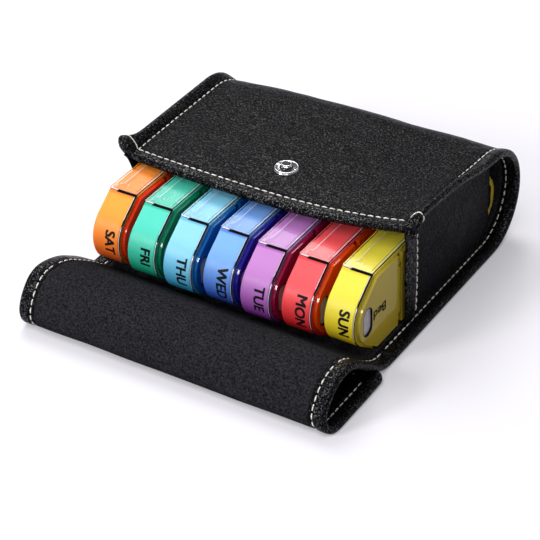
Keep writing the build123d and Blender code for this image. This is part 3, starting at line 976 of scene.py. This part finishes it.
# each strip: its left and right side from the pod's left face, its start and end down the nose, its height
painted_shade_strips = [
    (4.2, 14.7, 0.05, 1.35, 0.04), (0.7, 4.2, 0.6, 0.85, 0.04), (14.0, 14.75, 1.25, 15.5, 0.04),
    (14.0, 14.75, 34, 51, 0.04), (14.35, 14.75, 15.5, 34, 0.04), (14.25, 14.75, rail_end, -0.1, 0.04),
    (12.95, 13.12, rail_end, -1.5, 0.04)]
painted_highlight_strips = [
    (0.7, 4.7, 0.05, 0.6, 0.04), (13.75, 13.94, 1.5, 13, 0.04), (14.1, 14.32, 16.5, 33, 0.04),
    (4.05, 4.3, rail_end, -4.4, 0.12), (2.6, 4.3, -4.7, -4.4, 0.12), (6.5, 7.0, -4.9, -4.4, 0.15),
    (2.1, 2.35, -3.4, -1.2, 0.12)]
painted_highlight_strips += [(13.35, 14.1, -5.35 - 1.1 * number, -5 - 1.1 * number, 0.08) for number in range(36)]
for day in day_colours:
    pod_rims(f"{day}_painted_shade_rims", day, painted_shade_strips, painted_shade_edge)
    pod_rims(f"{day}_bright_rims", day, painted_highlight_strips, painted_highlight_edge)

# each lid's thumb scoop: its hollow painted light as a painted reflection of the white room, within a dark
# outline of painted shade along its wall
scoop_half, scoop_round = 6.6, 3.6  # half its length, and the radius of its ends
scoop_place = 6.9  # from the lid's free edge to the scoop's middle
scoop_sides = 24
for day in day_colours:
    for meal in meals:
        low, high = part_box(f"{day}_{meal}_lid")
        inward = 1 if meal in ("bed", "eve") else -1
        free_edge = (low.y if inward > 0 else high.y) / mm
        middle = Vector((high.x / mm, free_edge + scoop_place * inward, (low.z + high.z) / 2 / mm))
        outline = []
        for k in range(scoop_sides):
            angle = 2 * math.pi * (k + 0.5) / scoop_sides
            end = math.copysign(scoop_half - scoop_round, math.sin(angle))
            outline.append(Vector((0, scoop_round * math.cos(angle), scoop_round * math.sin(angle) + end)))
        points = [middle + p * size + Vector((depth, 0, 0))
                  for size, depth in ((1, -0.84), (1, 0.02), (1.07, 0.02)) for p in outline]
        faces = [tuple(range(scoop_sides))]
        for ring in (0, scoop_sides):
            for k in range(scoop_sides):
                a, b = ring + k, ring + (k + 1) % scoop_sides
                faces.append((a, a + scoop_sides, b + scoop_sides, b))
        scoop = shaped(f"{day}_{meal}_scoop", points, faces, painted_reflection_scoop, soft=False, outward=False)
        scoop.data.materials.append(painted_shade_edge)
        for face in scoop.data.polygons[1:]:
            face.material_index = 1
        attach(scoop, f"{day}_{meal}_lid")

# ---- lettering ----
# The day on each pod's front nose and the time on each lid, pad-printed in black, in bold plain capitals or
# small letters. A day reads downward. A time reads towards the front with its letters' feet up.
ink, tree, shader, place = textured("black_pad_printing_ink")
film = add(tree, "TexNoise", {"Vector": place, "Scale": 1 / (0.6 * mm), "Detail": 2.0}).outputs["Fac"]
shade = add(tree, "Mix", {"Factor": film, "A": "#0B0A0D", "B": "#19171C"}, data_type="RGBA")
feed(tree, shader, {"Base Color": shade.outputs["Result"], "Roughness": 0.6, "Specular IOR Level": 0.2})
capital_height = 4.7  # of the days
day_foot = 7.1  # from a pod's left face to the feet of its day's letters
day_middle = 25.0  # from the front corner down the nose to the middle of the word
day_bold = 0.24  # by which a stroke is widened to each side
time_height = 4.3
time_bold = 0.15
time_stretch = 1.15  # the small words are in wide letters
time_middle = 18.3  # from a lid's hinged edge to the middle of its word
cut_width = 0.8  # the flat words are cut into narrow bands, so they can bend with the nose


def flat_word(words, height, bold):
    """A word as a flat shape in X and Y, in millimetres, drawn five times a little apart to make it bold."""
    bpy.ops.object.select_all(action="DESELECT")
    bpy.ops.object.text_add()
    text = bpy.context.object
    text.data.body = words
    text.data.resolution_u = 4
    bpy.ops.object.convert(target="MESH")
    shape = bmesh.new()
    shape.from_mesh(text.data)
    bpy.ops.object.delete()
    top = max(v.co.y for v in shape.verts)
    middle = (max(v.co.x for v in shape.verts) + min(v.co.x for v in shape.verts)) / 2
    for vertex in shape.verts:
        vertex.co = Vector(((vertex.co.x - middle) * height / top, vertex.co.y * height / top, 0))
    once = shape.verts[:] + shape.edges[:] + shape.faces[:]
    for aside, up in ((bold, bold), (-bold, bold), (bold, -bold), (-bold, -bold)):
        copied = bmesh.ops.duplicate(shape, geom=once)["geom"]
        bmesh.ops.translate(shape, verts=[g for g in copied if isinstance(g, bmesh.types.BMVert)],
                            vec=(aside, 0.7 * up, 0))
    reach = max(v.co.x for v in shape.verts)
    cut = -reach
    while cut < reach:
        bmesh.ops.bisect_plane(shape, geom=shape.verts[:] + shape.edges[:] + shape.faces[:],
                               plane_co=(cut, 0, 0), plane_no=(1, 0, 0))
        cut += cut_width
    return shape


def printed(name, shape, spot, body):
    """A word printed on a surface: spot gives the place in millimetres of a point of the flat word."""
    data = bpy.data.meshes.new(name)
    shape.to_mesh(data)
    for vertex in data.vertices:
        vertex.co = spot(vertex.co.x, vertex.co.y) * mm
    data.materials.append(ink)
    word = bpy.data.objects.new(name, data)
    bpy.context.scene.collection.objects.link(word)
    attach(word, body)


meal_shapes = {meal: flat_word(meal.capitalize(), time_height, time_bold) for meal in meals}
for day in day_colours:
    day_shape = flat_word(day.upper(), capital_height, day_bold)
    printed(f"{day}_name", day_shape, lambda x, y: on_pod(day, day_foot + y, day_middle + x, 0.05),
            f"{day}_pod")
    day_shape.free()
    for meal in meals:
        low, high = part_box(f"{day}_{meal}_lid")
        middle = high.y / mm - time_middle if meal in ("bed", "eve") else low.y / mm + time_middle
        foot = (low.z + high.z) / 2 / mm + time_height / 2
        face = high.x / mm + 0.03
        printed(f"{day}_{meal}_word", meal_shapes[meal],
                lambda x, y: Vector((face, middle - time_stretch * x, foot - y)), f"{day}_{meal}_lid")
